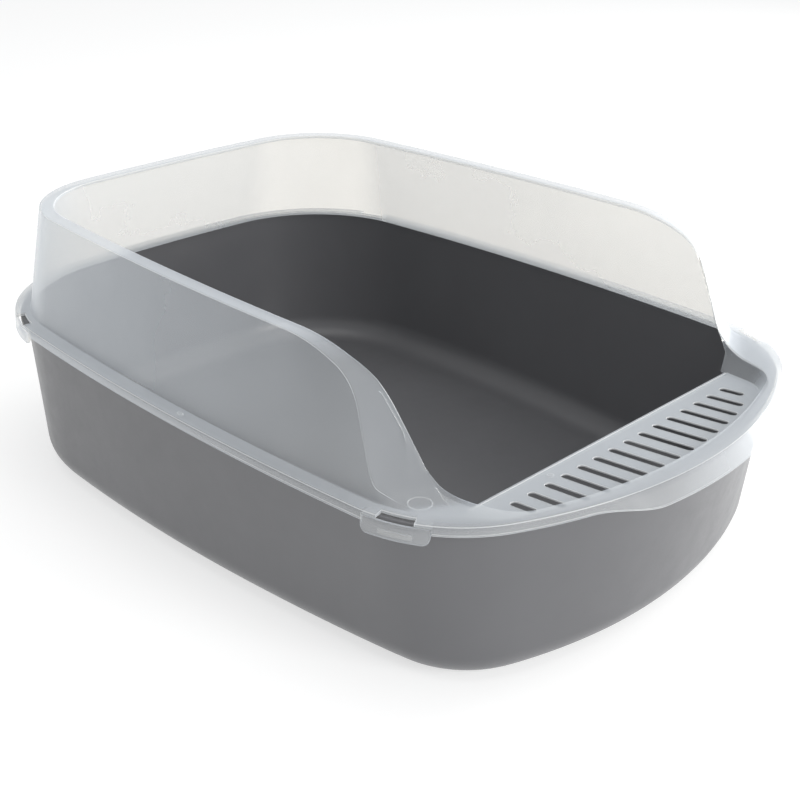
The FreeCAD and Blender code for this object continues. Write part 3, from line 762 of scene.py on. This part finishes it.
def tray_material():
    """Cool grey satin polypropylene: fine grain, faint cloudiness, slightly worn edges."""
    material, tree, nodes, links = node_tree("tray_polypropylene")
    out = nodes.new("ShaderNodeOutputMaterial")
    skin = nodes.new("ShaderNodeBsdfPrincipled")
    cloud = noise(nodes, links, 9.0, 4.0)
    grain = noise(nodes, links, 1400.0, 3.0, 0.6)
    scuff = noise(nodes, links, 60.0, 6.0, 0.7)
    tone = mixed_color(nodes, links, ranged(nodes, links, cloud, 0.0, 1.0),
                       (0.118, 0.119, 0.126), (0.130, 0.131, 0.139))
    edge = nodes.new("ShaderNodeNewGeometry").outputs["Pointiness"]
    wear = ranged(nodes, links, edge, 0.0, 0.35, 0.52, 0.62)
    worn = nodes.new("ShaderNodeMix")
    worn.data_type = "RGBA"
    links.new(wear, worn.inputs["Factor"])
    links.new(tone, worn.inputs[6])
    worn.inputs[7].default_value = (0.22, 0.22, 0.23, 1)
    links.new(worn.outputs[2], skin.inputs["Base Color"])
    links.new(ranged(nodes, links, scuff, 0.34, 0.44), skin.inputs["Roughness"])
    fine = bump(nodes, links, grain, 0.25, 0.00012)
    links.new(bump(nodes, links, cloud, 0.15, 0.0006, fine), skin.inputs["Normal"])
    skin.inputs["Specular IOR Level"].default_value = 0.5
    skin.inputs["IOR"].default_value = 1.49
    skin.inputs["Coat Weight"].default_value = 0.25
    skin.inputs["Coat Roughness"].default_value = 0.22
    links.new(skin.outputs[0], out.inputs["Surface"])
    return material


def guard_material(name, clearest, densest, first, second):
    """Milky clear polypropylene: see-through, bluish where it scatters, denser at the edges."""
    material, tree, nodes, links = node_tree(name)
    out = nodes.new("ShaderNodeOutputMaterial")
    skin = nodes.new("ShaderNodeBsdfPrincipled")
    clear = nodes.new("ShaderNodeBsdfTransparent")
    clear.inputs["Color"].default_value = (1.0, 0.985, 0.955, 1)
    haze = noise(nodes, links, 14.0, 5.0, 0.55)
    scuff = noise(nodes, links, 120.0, 3.0, 0.6)
    tone = mixed_color(nodes, links, haze, first, second)
    links.new(tone, skin.inputs["Base Color"])
    links.new(ranged(nodes, links, scuff, 0.1, 0.32, 0.0, 1.0), skin.inputs["Roughness"])
    sway = noise(nodes, links, 7.0, 0.0)
    links.new(bump(nodes, links, sway, 0.06, 0.0006), skin.inputs["Normal"])
    skin.inputs["Specular IOR Level"].default_value = 0.5
    skin.inputs["IOR"].default_value = 1.49
    facing = nodes.new("ShaderNodeLayerWeight")
    facing.inputs["Blend"].default_value = 0.35
    depth = ranged(nodes, links, facing.outputs["Facing"], clearest, densest, 0.2, 1.0)
    veil = ranged(nodes, links, haze, -0.03, 0.03, 0.0, 1.0)
    total = nodes.new("ShaderNodeMath")
    total.operation = "ADD"
    total.use_clamp = True
    links.new(depth, total.inputs[0])
    links.new(veil, total.inputs[1])
    mix = nodes.new("ShaderNodeMixShader")
    links.new(total.outputs[0], mix.inputs["Fac"])
    links.new(clear.outputs[0], mix.inputs[1])
    links.new(skin.outputs[0], mix.inputs[2])
    links.new(mix.outputs[0], out.inputs["Surface"])
    return material


def floor_material():
    material, tree, nodes, links = node_tree("studio_floor")
    out = nodes.new("ShaderNodeOutputMaterial")
    skin = nodes.new("ShaderNodeBsdfPrincipled")
    cloud = noise(nodes, links, 3.0, 2.0)
    links.new(ranged(nodes, links, cloud, 0.78, 0.82), skin.inputs["Roughness"])
    skin.inputs["Base Color"].default_value = (0.50, 0.50, 0.497, 1)
    skin.inputs["Specular IOR Level"].default_value = 0.2
    skin.inputs["Emission Color"].default_value = (1, 1, 1, 1)
    skin.inputs["Emission Strength"].default_value = 0.62
    links.new(skin.outputs[0], out.inputs["Surface"])
    return material


# ---------------------------------------------------------------- studio

def area_light(name, where, target, size, power, color):
    data = bpy.data.lights.new(name, "AREA")
    data.shape = "RECTANGLE"
    data.size, data.size_y = size
    data.energy = power
    data.color = color
    lamp = bpy.data.objects.new(name, data)
    lamp.location = where
    lamp.rotation_euler = (Vector(target) - Vector(where)).to_track_quat("-Z", "Y").to_euler()
    bpy.context.scene.collection.objects.link(lamp)


def build_studio():
    mesh = bpy.data.meshes.new("floor")
    mesh.from_pydata([(-8, -8, 0), (8, -8, 0), (8, 8, 0), (-8, 8, 0)], [], [(0, 1, 2, 3)])
    floor = bpy.data.objects.new("floor", mesh)
    bpy.context.scene.collection.objects.link(floor)
    mesh.materials.append(floor_material())
    world = bpy.data.worlds.new("studio")
    world.use_nodes = True
    world.node_tree.nodes["Background"].inputs["Color"].default_value = (0.97, 0.985, 1.0, 1)
    world.node_tree.nodes["Background"].inputs["Strength"].default_value = 0.52
    bpy.context.scene.world = world
    area_light("top_soft", (0.1, -0.1, 1.9), (0, 0, 0.1), (1.8, 1.8), 13.0, (1.0, 1.0, 1.0))
    area_light("right_low", (2.0, -0.4, 0.3), (0.1, -0.2, 0.06), (0.8, 0.6), 38.0, (1.0, 0.995, 0.985))
    area_light("front_soft", (0.3, -2.2, 1.0), (0, 0.1, 0.1), (1.0, 0.8), 24.0, (1.0, 1.0, 1.0))
    bpy.context.scene.view_settings.view_transform = "Standard"


def build_camera():
    data = bpy.data.cameras.new("camera")
    data.sensor_width = 36.0
    data.lens = 58.07
    data.shift_x = 0.0179
    data.shift_y = -0.0025
    data.clip_start = 0.01
    camera = bpy.data.objects.new("camera", data)
    camera.location = (-0.5786, -0.5935, 0.4672)
    aim = Vector((0.62704, 0.64323, -0.43941))
    camera.rotation_euler = aim.to_track_quat("-Z", "Y").to_euler()
    bpy.context.scene.collection.objects.link(camera)
    bpy.context.scene.camera = camera


def dress(obj, looks, body, slot, *nodes):
    for look in looks:
        obj.data.materials.append(look)
    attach(obj, body)
    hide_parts(*nodes)


tray_look = tray_material()
guard_look = guard_material("guard_polypropylene", 0.19, 0.95,
                            (0.80, 0.855, 0.925), (0.82, 0.87, 0.935))
# The second guard material is whiter and denser; it paints the bright highlight lines along creases, slot
# rims and the bead.
painted_highlight_look = guard_material("guard_painted_highlight", 0.55, 0.9, (0.92, 0.94, 0.955), (0.94, 0.955, 0.965))
dress(build_tray(), [tray_look], "tray", "tray_plastic", "tray")
whole, facts = build_guard()
finish_mesh(whole)
rim_piece, wall_piece, tub_piece = split_parts(whole, ["rim_shape", "wall_shape", "step_shape"])
build_step(tub_piece, facts)
add_marks(rim_piece, tub_piece)
walls = ("guard_back", "guard_side_left", "guard_side_right")
for piece, nodes in ((rim_piece, ("guard_rim",)), (wall_piece, walls), (tub_piece, ("entry_step",))):
    piece.data.shade_smooth()
    piece.data.set_sharp_from_angle(angle=CREASE)
    dress(piece, [guard_look, painted_highlight_look], "guard", "guard_plastic", *nodes)
for place in FLAPS:
    for side, word in ((1, "right"), (-1, "left")):
        body = "snap_%s_%s" % (place, word)
        dress(build_flap(place, side), [guard_look, painted_highlight_look], body, "guard_plastic", body)
build_studio()
build_camera()
